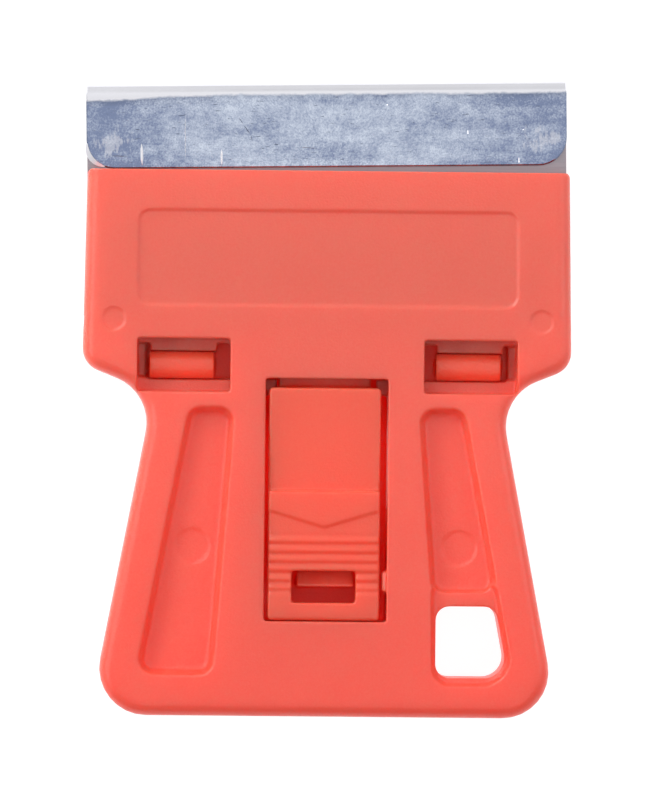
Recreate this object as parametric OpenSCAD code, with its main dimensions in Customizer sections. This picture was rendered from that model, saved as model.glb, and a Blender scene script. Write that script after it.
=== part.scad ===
// Pocket razor blade scraper, lying on its back with the blade stored spine outwards.
// X runs across the blade, Y from the handle's end towards the blade, Z out of the front face.
// The origin is at the middle of the outer box, on the surface that the back rests on.

/* [Blade] */
// Width of the blade and of its spine
blade_width = 39; // [36:0.1:40]
// Height of the blade from its cutting edge to the top of its spine
blade_height = 19; // [17:0.1:21]
// Thickness of the blade steel
blade_thickness = 0.23; // [0.2:0.01:0.4]
// Height of the ground bevel at the cutting edge
grind_height = 1.6; // [0.8:0.1:3]
// Width of the flat that is left at the cutting edge
edge_flat = 0.02; // [0.01:0.01:0.05]
// Height of the folded spine
spine_height = 6.85; // [5:0.05:8]
// Thickness of the spine's sheet
spine_sheet = 0.4; // [0.3:0.05:0.55]
// Half thickness of the spine's fold
fold_radius = 0.66; // [0.65:0.01:0.9]
// Length of the fold's round nose
fold_length = 1; // [0.8:0.1:1.6]
// Length over which the fold narrows to the pressed flanks
fold_taper = 0.8; // [0.2:0.1:1]
// Radius of the spine's lower corners
spine_corner = 2.3; // [0.8:0.1:2.5]
// How far the steel stops short of the spine's ends
steel_inset = 0.05; // [0.02:0.01:0.2]
// How far the blade sits askew in its slot, in degrees
blade_skew = 1.05; // [0:0.05:1.5]
// How far the blade sits to the left in its slot
blade_shift = 0.16; // [0:0.01:0.2]

/* [Body outline] */
// Length of the body from the handle's end to the blade end
body_length = 44.3; // [42:0.1:52]
// Thickness of the body
body_thickness = 7; // [6.6:0.1:9]
// How far the head stands out past the blade at each side
head_side = 0.1; // [0.05:0.05:1]
// How far the shoulders stand out past the head's blade end at each side
shoulder_flare = 0.27; // [0.1:0.01:0.6]
// Width of the handle at the waist, where the side lines meet, as a share of the blade's width
waist_share = 0.7215; // [0.71:0.0005:0.78]
// Width of the handle's end, where the side lines meet, as a share of the blade's width
end_share = 0.977; // [0.93:0.001:1.06]
// Drop from the shoulder to the waist
shoulder_drop = 2.3; // [2:0.02:3]
// Radius of the shoulder corners
shoulder_radius = 1.9; // [1:0.1:2.5]
// Radius of the waist curves
waist_radius = 3.9; // [3.5:0.1:4.5]
// Radius of the handle's end corners
end_radius = 3.8; // [2:0.1:5]
// Chamfer of the head's two blade end corners
head_chamfer = 0.3; // [0.1:0.05:0.6]
// Radius of the front edge all round
front_round = 1.1; // [0.6:0.1:1.6]
// Radius of the back edge all round
back_round = 0.8; // [0.4:0.1:1.2]
// How far the side walls lean in from the parting line to the front edge
side_draft = 0.05; // [0:0.05:0.3]

/* [Head] */
// Thickness of the front wall over the blade
front_wall = 2; // [1.8:0.1:2.6]
// Length of the clamping lip at the blade end
lip_length = 5; // [3:0.1:6]
// Distance of the sunk front panel from the blade's ends
panel_side = 4.05; // [3:0.05:8]
// Height of the sunk front panel
panel_height = 7.8; // [4:0.1:8.5]
// Distance of the sunk panel from the blade end
panel_margin = 3.2; // [2:0.1:4]
// Depth of the sunk panel
panel_depth = 0.2; // [0.1:0.05:0.4]
// Corner radius of the sunk panel
panel_corner = 1; // [0.4:0.1:2]

/* [Handle] */
// Width of the rim between a grip pocket and the handle's side
rim_width = 2.95; // [2.6:0.05:3.6]
// Wall between the slot and a pocket's upper end
pocket_web = 2.39; // [2.1:0.01:2.8]
// How much further a pocket's lower end lies from the slot than its upper end
pocket_lean = 1.64; // [0.8:0.02:2.4]
// Distance of the pockets from the handle's end
pocket_end = 3.3; // [2.8:0.1:4.5]
// Distance of the pockets' upper ends below the hinge
pocket_drop = 3.3; // [3:0.1:5]
// Corner radius of the pockets
pocket_corner = 1.3; // [0.8:0.1:1.6]
// Depth of the front grip pockets
pocket_depth = 1.3; // [0.6:0.1:1.8]
// Width of the sloped pocket wall, seen from the front
pocket_slope = 0.75; // [0.4:0.05:1]
// Depth of the core-out pockets in the back
core_depth = 3.2; // [1:0.1:3.6]
// Bevel at the foot of the core-out pockets' walls
core_foot = 0.3; // [0.1:0.05:0.4]
// Distance of the hanging hole's upper side from the handle's end
hang_top = 9.1; // [8.5:0.05:10]
// Distance of the hanging hole's lower side from the handle's end
hang_end = 3.3; // [3:0.05:3.8]
// Width of the bridge between the hanging hole and the pocket above it
hang_bridge = 0.85; // [0.5:0.05:1]
// Wall between the hanging hole and the core-out pocket above it
core_bridge = 1.2; // [1:0.05:1.5]
// Corner radius of the hanging hole
hang_corner = 1.1; // [0.8:0.1:1.5]
// Radius of the hanging hole's back rim
hang_round = 0.75; // [0.3:0.05:0.9]
// Width of the sunk border at the hanging hole's outer and lower side
hang_border = 0.7; // [0.5:0.05:0.9]
// Depth of the sunk border
hang_sink = 0.6; // [0.3:0.05:0.9]
// Distance between the hanging hole and the line of the pocket's outer wall
hang_margin = 0.5; // [0.4:0.05:1]

/* [Slot] */
// Thickness of the slot's floor behind the tab's end
floor_thickness = 1.6; // [1:0.1:2]
// Length of the slot's floor, from the slot's end
floor_length = 9.2; // [7:0.1:11]
// Depth of the webs behind the slot's upper corners, below the front face
web_depth = 2.8; // [2.7:0.05:2.9]
// Thickness of the webs behind the slot's upper corners
web_thickness = 0.85; // [0.6:0.05:0.9]
// Width of the webs' foot beside the slot
web_foot = 0.8; // [0.6:0.1:1.5]
// Length of the guide nib on the slot's right wall
nib_length = 1.6; // [1:0.1:2.4]
// How far the guide nib stands out of the slot's wall
nib_height = 0.38; // [0.1:0.02:0.4]
// Thickness of the snap catch
catch_thickness = 1.25; // [0.9:0.05:1.4]
// Height of the snap catch's slope
catch_slope = 1; // [0.6:0.1:1.2]
// Height of the snap catch's nose
catch_nose = 0.4; // [0.3:0.05:0.5]
// How far the snap catch's nose stands out over its root
catch_reach = 0.5; // [0.3:0.05:0.6]
// How far the snap catch's nose reaches into the tab's hole
catch_entry = 0.1; // [0:0.05:0.2]

/* [Mould marks] */
// Radius of the ejector marks on the head
head_mark = 0.95; // [0.6:0.05:1.1]
// Radius of the ejector marks in the grip pockets
pocket_mark = 1.45; // [1:0.05:1.5]
// Distance of the head's marks from its sides
head_mark_side = 2.55; // [2.3:0.05:2.8]
// Distance of the head's marks above the blade's space
head_mark_rise = 0.3; // [0:0.05:0.6]
// Distance of the pockets' marks above the bridge at the hanging hole
pocket_mark_rise = 3.85; // [3:0.05:4.5]
// Depth of the ejector marks
mark_depth = 0.14; // [0.04:0.01:0.2]

/* [Hinge] */
// Radius of the lever's two hinge barrels
barrel_radius = 1.1; // [1:0.05:1.2]
// Distance between a barrel's ends and the sides of its window
barrel_side = 1.15; // [0.9:0.05:1.6]
// Distance of each hinge window's middle from the centre line, as a share of the blade's width
window_share = 0.2982; // [0.285:0.0002:0.3]
// Width of each hinge window, as a share of the blade's width
window_width_share = 0.1936; // [0.18:0.0002:0.195]
// Height of each hinge window
window_height = 4.33; // [4:0.01:4.5]
// Depth of the hinge axis below the front face
pivot_depth = 2.6; // [2.4:0.05:2.8]
// Depth of the bearing ledges below the front face
ledge_depth = 2.4; // [2.2:0.05:2.5]
// How far the bearing jaws reach behind the hinge axis
bearing_grip = 0.65; // [0.5:0.05:0.7]
// Wall between a hinge window and the blade's space
bearing_wall = 1.25; // [1:0.05:2]
// Bevel of the bearings' outer lower corners
bearing_bevel = 0.5; // [0.4:0.05:0.8]
// Reach of the bearing's end slits below the hinge axis
slit_lower = 1; // [0.8:0.05:1.2]
// Reach of the bearing's end slits above the hinge axis
slit_upper = 1.8; // [1.2:0.05:1.9]
// Thickness of the floor that closes the outer slits past the lever's plate
slit_floor = 0.3; // [0.25:0.05:0.5]

/* [Lever] */
// Width of the lever's press tab, as a share of the blade's width
tab_share = 0.2323; // [0.21:0.0005:0.25]
// Length of the press tab
tab_length = 18.83; // [17:0.01:20]
// Thickness of the press tab
tab_thickness = 2.4; // [1.8:0.1:2.6]
// Radius of the press tab's corners
tab_corner = 0.3; // [0.3:0.05:0.8]
// Radius of the press tab's front edges
tab_round = 0.25; // [0.1:0.05:0.3]
// Length of the tab's sloped thumb rest
rest_length = 8.35; // [7:0.05:9]
// Depth of the thumb rest at its lower end
rest_depth = 0.45; // [0.2:0.05:0.6]
// Length of the arrow plateau at the tab's sides
arrow_side = 1.22; // [1:0.01:2.5]
// How far the arrow's point reaches below its sides
arrow_point = 1.7; // [0.8:0.05:1.8]
// Depth of the step around the arrow
arrow_step = 0.2; // [0.05:0.05:0.3]
// Number of grip ribs
rib_count = 6; // [3:1:6]
// Distance from rib to rib
rib_pitch = 0.775; // [0.6:0.005:0.8]
// Radius of the ribs' round tops
rib_radius = 0.325; // [0.25:0.005:0.35]
// How far the ribs stop short of the tab's sides
rib_inset = 0.1; // [0.05:0.05:0.5]
// Depth of the ribs' tops below the tab's front
rib_sink = 0.04; // [0.02:0.01:0.1]
// Depth of the grooves between the ribs
rib_depth = 0.3; // [0.1:0.05:0.4]
// Distance between the catch hole and the tab's sides
hole_side = 1.93; // [1.5:0.01:2.5]
// Height of the catch hole in the tab
hole_height = 2.6; // [2.2:0.1:3]
// Distance of the catch hole from the tab's end
hole_margin = 1.4; // [1:0.1:2]
// Thickness of the jaw at the blade end
jaw_tip = 2; // [1.6:0.1:3]
// Length of the jaw's tapered back
jaw_taper = 7.8; // [5:0.1:9]
// Wall of the jaw between its core-outs and the blade's space
jaw_wall = 1.4; // [1:0.1:1.8]
// Number of core-out pockets in the jaw's back
jaw_pockets = 4; // [2:1:6]
// Width of the ribs between the jaw's pockets
jaw_rib = 1.4; // [1:0.1:2]
// Distance between the jaw's pockets and the jaw's tip
jaw_solid = 3.4; // [2.5:0.1:4]
// Corner radius of the jaw's pockets
jaw_corner = 0.7; // [0.5:0.05:1]
// How far the jaw's outline lies inside the body's outline
jaw_inset = 0.16; // [0.15:0.01:0.25]
// Thickness of the necks between the barrels and the lever's plate
neck_thickness = 1.2; // [1:0.05:1.25]
// Gap between the bearing jaws and the lever's plate
plate_gap = 1.15; // [1.1:0.05:1.3]
// Reach of the plate's back below the hinge axis
plate_drop = 1.1; // [0.9:0.05:1.1]
// Reach of the plate's front below the hinge axis
plate_lip = 1.6; // [1.2:0.05:1.6]
// Reach of the heels beside the stem below the hinge axis
heel_drop = 1.95; // [1.8:0.05:1.95]
// Thickness of the heels beside the stem
heel_thickness = 0.8; // [0.6:0.05:0.9]
// Distance of the lever's back from the surface that the part rests on
lever_back = 0.3; // [0.2:0.05:0.6]
// How far the stem's sides lie inside the press tab's sides
stem_inset = 0.8; // [0.7:0.1:1.2]
// Length of the stem between the plate and the press tab
stem_length = 3.2; // [2.5:0.1:4]
// Distance of the stem's back from the surface that the part rests on
stem_back = 1; // [0.5:0.1:1.4]
// Bevel of the stem's lower back edge
stem_bevel = 1; // [0.4:0.1:1.2]
// Distance of the stem's front edge above the hinge axis
stem_rise = 0.4; // [0.2:0.05:0.6]
// Length of the slope from the stem's front down to the plate
stem_slope = 1.2; // [0.8:0.1:1.6]
// Distance of the slot's upper end below the hinge axis
slot_drop = 1; // [0.9:0.02:1.1]

/* [Clearances] */
// Gap on each face of the blade in its slot
blade_clearance = 0.035; // [0.02:0.005:0.1]
// Gap between the folded spine and its space in the jaws
spine_clearance = 0.1; // [0.05:0.01:0.2]
// Gap between the stored spine and the body's blade end
seat_gap = 0.03; // [0.02:0.01:0.2]
// Gap below the stored cutting edge
edge_gap = 0.25; // [0.1:0.05:0.6]
// Radial gap between a barrel and its bearing
hinge_clearance = 0.06; // [0.03:0.01:0.1]
// Gap between the tab and the slot at each side
tab_side_gap = 0.44; // [0.3:0.02:0.6]
// Gap above the tab, which lets it swing out
tab_top_gap = 0.76; // [0.7:0.02:1]
// Gap below the tab's end
tab_end_gap = 0.1; // [0.08:0.01:0.3]
// Gap between the lever and the body at its edges
lever_gap = 0.3; // [0.25:0.05:0.5]
// Depth of the press tab below the front face
tab_sink = 0.1; // [0:0.05:0.3]
// Gap between the jaw and the shoulders at their back, which lets the jaw swing back
shoulder_gap = 1.5; // [1.3:0.05:2]
// Gap between the jaw and the shoulders at the front wall
wall_gap = 0.4; // [0.35:0.05:0.8]
// Gap between the stem and the front wall, which lets the stem swing
swing_gap = 0.4; // [0.3:0.05:0.6]
// Gap between the catch and the hole at each side
catch_side = 0.3; // [0.2:0.05:0.6]
// Gap between the catch and the hole that snaps over it
catch_gap = 0.06; // [0.05:0.01:0.2]
// How far the lever sits to the left in its bearings
lever_shift = 0.15; // [0:0.01:0.15]

/* [Hidden] */

PLASTIC = [0.949, 0.388, 0.318];
STEEL = [0.64, 0.62, 0.65];
ALUMINIUM = [0.70, 0.73, 0.79];
// Points on each rounded corner and steps on each rounded edge
CORNER_STEPS = 8;
EDGE_STEPS = 5;
// How far a cutter runs past the faces that it cuts
PAST = 1;
FAR = 60;
// How far joined pieces run into each other
BITE = 0.2;
// Radius of the outline's last corner, which lies past the blade end
PAST_CORNER = 0.3;

// Blade
half_blade = blade_width / 2;
spine_half = blade_thickness / 2 + spine_sheet;
seat_y = body_length + seat_gap + (half_blade - spine_corner) * sin(blade_skew)
       + spine_corner * (1 - cos(blade_skew));
edge_drop = blade_height - spine_height;
edge_lowest = seat_y - edge_drop * cos(blade_skew) - half_blade * sin(blade_skew);
overall_length = seat_y + half_blade * sin(blade_skew) + spine_height * cos(blade_skew);

// Widths that follow the blade's width
head_width = blade_width + 2 * head_side;
shoulder_width = head_width + 2 * shoulder_flare;
waist_width = blade_width * waist_share;
end_width = blade_width * end_share;
panel_width = blade_width - 2 * panel_side;
window_offset = blade_width * window_share;
window_width = blade_width * window_width_share;
barrel_length = window_width - 2 * barrel_side;
tab_width = blade_width * tab_share;
hole_width = tab_width - 2 * hole_side;

// Heights of the layers that hold the blade
wall_back = body_thickness - front_wall;
jaw_front = wall_back - blade_thickness - 2 * blade_clearance;
blade_z = (wall_back + jaw_front) / 2;
space_half = fold_radius + spine_clearance;
space_bottom = edge_lowest - edge_gap;
space_top = body_length - lip_length;

// Hinge
pivot_y = space_bottom - bearing_wall - window_height / 2;
pivot_z = body_thickness - pivot_depth;
seat_radius = barrel_radius + hinge_clearance;
ledge_z = body_thickness - ledge_depth;
bearing_back = pivot_z - bearing_grip;
window_end = window_offset + window_width / 2;
slit_width = barrel_side - hinge_clearance;

// Lever
plate_front = bearing_back - plate_gap;
cradle_half = window_end - BITE / 2;
plate_half = cradle_half - lever_gap;
slit_end = plate_half - lever_gap / 2 - lever_shift;
stem_half = tab_width / 2 - stem_inset;
way_half = stem_half + lever_gap;
jaw_bottom = space_bottom + lever_gap;
slot_top = pivot_y - slot_drop;
slot_half = tab_width / 2 + tab_side_gap;
tab_top = slot_top - tab_top_gap;
tab_end = tab_top - tab_length;
tab_front = body_thickness - tab_sink;
tab_back = tab_front - tab_thickness;
slot_end = tab_end - tab_end_gap;
rest_end = tab_top - rest_length;
arrow_end = rest_end - arrow_side;
ribs_top = arrow_end - arrow_point - rib_pitch * 3 / 4;
ribs_end = ribs_top - (rib_count + 1 / 4) * rib_pitch;
hole_end = tab_end + hole_margin;
hole_top = hole_end + hole_height;

// Body
waist_y = pivot_y - shoulder_drop;
handle_top = pivot_y - window_height / 2;
shoulder_top = jaw_bottom - shoulder_gap;
shoulder_front = jaw_bottom - wall_gap;
parting_z = body_thickness / 2;
pocket_top = pivot_y - pocket_drop;
pocket_inner_top = slot_half + pocket_web;
pocket_inner_end = pocket_inner_top + pocket_lean;
bridge_end = hang_top + hang_bridge;
catch_half = hole_width / 2 - catch_side;

// Unit vector along v, and v turned a quarter turn to the left
function along(v) = v / norm(v);
function left_of(v) = [-v[1], v[0]];

// Points of one rounded corner c between p and n, moved inwards by inset
function corner_arc(p, c, n, inset) =
    let (d1 = along([c[0] - p[0], c[1] - p[1]]),
         d2 = along([n[0] - c[0], n[1] - c[1]]),
         turn = atan2(d1[0] * d2[1] - d1[1] * d2[0], d1 * d2),
         side = turn >= 0 ? 1 : -1,
         n1 = left_of(d1),
         bisector = (n1 + left_of(d2)) / (1 + n1 * left_of(d2)),
         r = max(0.02, c[2] - side * inset),
         centre = [c[0], c[1]] + bisector * (inset + side * r),
         start = atan2(n1[1], n1[0]))
    [for (k = [0 : CORNER_STEPS])
        let (a = start + turn * k / CORNER_STEPS) centre - side * r * [cos(a), sin(a)]];

// Closed outline through corners [x, y, radius], counter-clockwise, moved inwards by inset
function rounded(corners, inset = 0) =
    let (n = len(corners))
    [for (i = [0 : n - 1])
        each corner_arc(corners[(i + n - 1) % n], corners[i], corners[(i + 1) % n], inset)];

// Corners with their mirror images in the centre line, for an outline that starts at the right
function mirrored(corners) =
    [for (i = [len(corners) - 1 : -1 : 0]) [-corners[i][0], corners[i][1], corners[i][2]]];
function both_sides(corners) = concat(corners, mirrored(corners));

// Corners of an upright rectangle with round corners of radius r
function box_corners(x0, y0, x1, y1, r) = [[x1, y0, r], [x1, y1, r], [x0, y1, r], [x0, y0, r]];

// Layers [z, inset] of a round edge of radius r, from the side wall up to z_edge
function edge_up(z_edge, r, inset) =
    [for (k = [0 : EDGE_STEPS])
        let (a = 90 * k / EDGE_STEPS) [z_edge - r + r * sin(a), inset + r * (1 - cos(a))]];
// The same, from z_edge up to the side wall
function edge_down(z_edge, r, inset) =
    [for (k = [EDGE_STEPS : -1 : 0])
        let (a = 90 * k / EDGE_STEPS) [z_edge + r - r * sin(a), inset + r * (1 - cos(a))]];

// Solid lofted through inset copies of one outline, one for each layer [z, inset]
module loft(corners, layers) {
    count = len(corners) * (CORNER_STEPS + 1);
    top = len(layers) - 1;
    points = [for (l = layers) for (p = rounded(corners, l[1])) [p[0], p[1], l[0]]];
    sides = [for (k = [0 : top - 1]) for (i = [0 : count - 1])
        let (j = (i + 1) % count)
        each [[k * count + i, (k + 1) * count + i, (k + 1) * count + j],
              [k * count + i, (k + 1) * count + j, k * count + j]]];
    strips = [for (i = [0 : count / 2 - 2]) [i, i + 1, count - 2 - i, count - 1 - i]];
    roof = [for (s = strips) [for (i = [3 : -1 : 0]) top * count + s[i]]];
    polyhedron(points, concat(sides, strips, roof));
}

// Box between two corners
module block(low, high) {
    translate(low) cube(high - low);
}

// Prism across the part, from a profile of [y, z] points, from x0 to x1
module across(x0, x1, profile) {
    translate([x0, 0, 0]) rotate([90, 0, 90]) linear_extrude(x1 - x0) polygon(profile);
}

// Round bar across the part, from x0 to x1
module bar(x0, x1, y, z, r) {
    translate([x0, y, z]) rotate([0, 90, 0]) cylinder(h = x1 - x0, r = r, $fn = 48);
}

module right_and_left() {
    children();
    mirror([1, 0, 0]) children();
}

// Puts the part's middle over the origin
module centred() {
    translate([0, -overall_length / 2, 0]) children();
}

// Puts the blade's own frame, which starts under the middle of its spine, into its slot
module seated() {
    translate([-blade_shift, seat_y, blade_z]) rotate(blade_skew) children();
}

// Right half of the outline of body and jaw, with the blade end at y = top
function side_corners(top) =
    let (lean = (head_width - shoulder_width) / 2 / (body_length - pivot_y))
    [[end_width / 2, 0, end_radius],
     [waist_width / 2, waist_y, waist_radius],
     [shoulder_width / 2, pivot_y, shoulder_radius],
     [shoulder_width / 2 + lean * (top - pivot_y), top, PAST_CORNER]];

// Everything below the blade end, with its two corners cut off
module blade_end_trim(gap = 0) {
    half = head_width / 2 - gap;
    reach = body_length + half - head_chamfer;
    translate([0, 0, -PAST]) linear_extrude(body_thickness + 2 * PAST)
        polygon([[-FAR, -PAST], [FAR, -PAST], [FAR, reach - FAR], [half - head_chamfer, body_length],
                 [head_chamfer - half, body_length], [-FAR, reach - FAR]]);
}

// Outer form of body and jaw together, with round edges all along its sides
module outer_form(gap = 0) {
    layers = concat(edge_down(0, back_round, gap), [[parting_z, gap]],
                    edge_up(body_thickness, front_round, gap + side_draft));
    intersection() {
        loft(both_sides(side_corners(body_length + 3 * PAST)), layers);
        blade_end_trim(gap);
    }
}

// Corners of the right grip pocket, down to y = low
function pocket_corners(low) =
    let (lean = (end_width - waist_width) / 2 / waist_y,
         outer = end_width / 2 - rim_width * sqrt(1 + lean * lean),
         inner = (pocket_inner_end - pocket_inner_top) / (pocket_top - pocket_end))
    [[outer - lean * low, low, pocket_corner],
     [outer - lean * pocket_top, pocket_top, pocket_corner],
     [pocket_inner_top, pocket_top, pocket_corner],
     [pocket_inner_end - inner * (low - pocket_end), low, pocket_corner]];

// Sunk shape with sloped walls and a round foot, cut into the front face
module sink(corners, depth, slope) {
    floor_z = body_thickness - depth;
    foot = min(depth, slope) / 2;
    round_foot = [for (a = [0, 30, 60]) [floor_z + foot * (1 - cos(a)), slope - foot * sin(a)]];
    // Half the height and width of the slanted step that crosses the front face
    step = [foot / 2, foot / 3];
    loft(corners, concat(round_foot, [[body_thickness - step[0], step[1]],
                                      [body_thickness + step[0], -step[1]]]));
}

// Straight core-out, cut into the back
module core_out(corners) {
    draft = pocket_slope / 2;
    loft(corners, [[-PAST, 0], [core_depth - core_foot, draft], [core_depth, draft + core_foot]]);
}

// Corner of the hanging hole on its slanted outer side, at height y
function hang_outer(y, radius) = [pocket_corners(y)[0][0] - hang_margin, y, radius];

// Hanging hole with a round rim on the back
module hang_hole() {
    corners = [hang_outer(hang_end, hang_corner * 1.5), hang_outer(hang_top, hang_corner),
               [pocket_inner_end, hang_top, hang_corner], [pocket_inner_end, hang_end, hang_corner]];
    arc = [for (a = [60, 40, 20, 0]) [hang_round * (1 - sin(a)), -hang_round * (1 - cos(a))]];
    loft(corners, concat([[-PAST, arc[0][1] - PAST / 2]], arc, [[body_thickness + PAST, 0]]));
}

// Sunk border that leads the pocket's wall on round the hanging hole
module hang_dish() {
    low = hang_end - hang_border;
    high = bridge_end + pocket_corner;
    upper = pocket_corners(high);
    sink([[hang_outer(hang_end, 0)[0] + hang_border, low, hang_corner * 1.5 + hang_border],
          [upper[0][0] - BITE / 4, high, pocket_corner],
          [upper[3][0] + BITE / 4, high, pocket_corner],
          [pocket_inner_end - hang_border / 2, low, hang_corner + hang_border / 2]],
         hang_sink, hang_border - BITE);
}

// One hinge window through the front wall
module window() {
    block([window_offset - window_width / 2, handle_top, wall_back - PAST],
          [window_end, pivot_y + window_height / 2, body_thickness + PAST]);
}

// Snap-in bearing for one barrel: two jaws, open to the front and to the back, with a slit at each end
module bearing() {
    inner = window_offset - window_width / 2;
    outer = window_end + BITE / 2;
    low = handle_top - BITE;
    difference() {
        translate([0, 0, bearing_back]) linear_extrude(ledge_z - bearing_back)
            polygon([[inner - BITE, low], [outer - bearing_bevel, low], [outer, low + bearing_bevel],
                     [outer, space_bottom], [inner - BITE, space_bottom]]);
        bar(inner - PAST, slit_end, pivot_y, pivot_z, seat_radius);
        for (s = [[inner, inner + slit_width, 0], [window_end - slit_width, slit_end, 0],
                  [window_end - slit_width, window_end, bearing_back + slit_floor]])
            block([s[0], pivot_y - slit_lower, s[2]], [s[1], pivot_y + slit_upper, body_thickness]);
    }
}

// Snap catch that stands on the slot's floor and shows through the tab's hole
module snap_catch() {
    nose = hole_top - catch_gap;
    root = nose - catch_reach;
    back = nose - catch_thickness;
    foot = floor_thickness - BITE;
    tip = tab_back + catch_entry;
    across(-catch_half, catch_half,
           [[back, foot], [root, foot], [root, tip - catch_nose - catch_reach], [nose, tip - catch_nose],
            [nose, tip], [back, tip + catch_slope]]);
}

// Moulded body: front wall, handle, hinge bearings and catch in one piece
module body() {
    color(PLASTIC) centred() {
        difference() {
            outer_form();
            // Room behind the front wall for the blade and the jaw
            across(-FAR, FAR, [[shoulder_top, -PAST], [body_length + PAST, -PAST],
                               [body_length + PAST, wall_back], [shoulder_front, wall_back],
                               [shoulder_top, 0]]);
            // Room for the folded spine
            block([-FAR, space_bottom, PAST], [FAR, space_top, blade_z + space_half]);
            // Cradle for the lever's plate between the shoulders
            block([-cradle_half, handle_top, -PAST], [cradle_half, jaw_bottom, wall_back]);
            // Slot for the press tab, and the way through it to the back
            block([-slot_half, slot_end, floor_thickness], [slot_half, slot_top, body_thickness + PAST]);
            block([-way_half, slot_end + floor_length, -PAST], [way_half, slot_top, wall_back]);
            right_and_left() window();
            sink(box_corners(-panel_width / 2, body_length - panel_margin - panel_height,
                             panel_width / 2, body_length - panel_margin, panel_corner),
                 panel_depth, panel_depth / 2);
            sink(pocket_corners(bridge_end), pocket_depth, pocket_slope);
            sink(mirrored(pocket_corners(pocket_end)), pocket_depth, pocket_slope);
            core_out(pocket_corners(hang_top + core_bridge));
            core_out(mirrored(pocket_corners(pocket_end)));
            hang_dish();
            hang_hole();
            ejector_marks();
        }
        right_and_left() bearing();
        right_and_left() slot_web();
        guide_nib();
        snap_catch();
    }
}

// Shallow round witness marks of the mould's ejector pins
module ejector_marks() {
    mark_y = bridge_end + pocket_mark_rise;
    middle = pocket_corners(mark_y);
    right_and_left() {
        translate([shoulder_width / 2 - head_mark_side, space_bottom + head_mark_rise,
                   body_thickness - mark_depth])
            cylinder(h = PAST, r = head_mark, $fn = 32);
        translate([(middle[0][0] + middle[3][0]) / 2, mark_y, body_thickness - pocket_depth - mark_depth])
            cylinder(h = pocket_depth + mark_depth + PAST, r = pocket_mark, $fn = 32);
    }
}

// Web behind one upper corner of the slot, beside the stem
module slot_web() {
    front = body_thickness - web_depth;
    block([way_half, handle_top - BITE, front - web_thickness],
          [slot_half + web_foot, slot_top - BITE / 2, front]);
}

// Small rib on the slot's right wall that guides the tab's side
module guide_nib() {
    block([slot_half - nib_height, hole_top - nib_length, tab_back],
          [slot_half + BITE, hole_top, tab_front - BITE]);
}

// Clamping jaw: the back half of the head, with a tapered, cored-out back
module jaw() {
    taper_z = jaw_front - jaw_tip;
    taper_y = body_length - jaw_taper;
    slope = (taper_z - lever_back) / jaw_taper;
    core_front = blade_z - space_half - jaw_wall;
    core_width = (head_width - 2 * jaw_rib - (jaw_pockets - 1) * jaw_rib) / jaw_pockets;
    difference() {
        outer_form(jaw_inset);
        block([-FAR, -PAST, -PAST], [FAR, jaw_bottom, body_thickness + PAST]);
        block([-FAR, -PAST, jaw_front], [FAR, body_length + PAST, body_thickness + PAST]);
        // Room for the folded spine
        block([-FAR, 0, blade_z - space_half], [FAR, space_top, body_thickness]);
        across(-FAR, FAR, [[0, lever_back], [0, -PAST], [body_length + PAST, -PAST],
                           [body_length + PAST, taper_z + slope * PAST], [taper_y, lever_back]]);
        for (i = [0 : jaw_pockets - 1]) {
            x = jaw_rib - head_width / 2 + i * (core_width + jaw_rib);
            loft(box_corners(x, jaw_bottom + jaw_rib, x + core_width, body_length - jaw_solid, jaw_corner),
                 [[-PAST, 0], [core_front - core_foot, jaw_inset], [core_front, jaw_inset + core_foot]]);
        }
    }
}

// Press tab with its thumb rest, arrow plateau, grip ribs and catch hole
module tab() {
    half = tab_width / 2;
    groove = tab_front - rib_depth;
    difference() {
        union() {
            difference() {
                loft(box_corners(-half, tab_end, half, tab_top, tab_corner),
                     concat([[tab_back, 0]], edge_up(tab_front, tab_round, 0)));
                across(-half - PAST, half + PAST, [[tab_top + PAST, tab_front], [tab_top, tab_front],
                       [rest_end, tab_front - rest_depth], [rest_end, tab_front + PAST],
                       [tab_top + PAST, tab_front + PAST]]);
                translate([0, 0, tab_front - arrow_step]) linear_extrude(PAST)
                    polygon([[-half - PAST, arrow_end], [0, arrow_end - arrow_point],
                             [half + PAST, arrow_end], [half + PAST, ribs_top], [-half - PAST, ribs_top]]);
                block([-half - PAST, ribs_end, groove], [half + PAST, ribs_top, tab_front + PAST]);
            }
            for (i = [0 : rib_count - 1])
                bar(rib_inset - half, half - rib_inset, ribs_top - (i + 5 / 8) * rib_pitch,
                    tab_front - rib_radius - rib_sink, rib_radius);
        }
        block([-hole_width / 2, hole_end, tab_back - PAST], [hole_width / 2, hole_top, body_thickness]);
    }
}

// Clamp lever: jaw, plate, hinge barrels and press tab in one piece
module clamp_lever() {
    stem_front = wall_back - swing_gap;
    tab_middle = tab_front - tab_thickness / 2;
    barrel_start = window_offset - barrel_length / 2;
    stem_end = tab_top - stem_length;
    crest_y = pivot_y + stem_rise;
    color(PLASTIC) centred() translate([-lever_shift, 0, 0]) {
        jaw();
        // Plate between the shoulders
        across(-plate_half, plate_half,
               [[pivot_y - plate_drop, lever_back], [jaw_bottom + BITE, lever_back],
                [jaw_bottom + BITE, plate_front], [pivot_y - plate_lip, plate_front]]);
        // Heels that close the way through beside the stem
        block([-way_half - lever_gap, pivot_y - heel_drop, plate_front - heel_thickness],
              [way_half + lever_gap, pivot_y - plate_lip + BITE, plate_front]);
        // Stem that carries the tab out through its slot
        across(-stem_half, stem_half,
               [[stem_end, tab_middle], [stem_end, stem_back + stem_bevel],
                [stem_end + stem_bevel, stem_back], [pivot_y, stem_back],
                [crest_y + stem_slope, plate_front - BITE], [crest_y, stem_front],
                [tab_top - BITE, stem_front], [tab_top - BITE, tab_middle]]);
        tab();
        right_and_left() {
            bar(barrel_start, barrel_start + barrel_length, pivot_y, pivot_z, barrel_radius);
            block([barrel_start, pivot_y - neck_thickness / 2, plate_front - BITE],
                  [barrel_start + barrel_length, pivot_y + neck_thickness / 2, pivot_z]);
        }
    }
}

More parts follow.
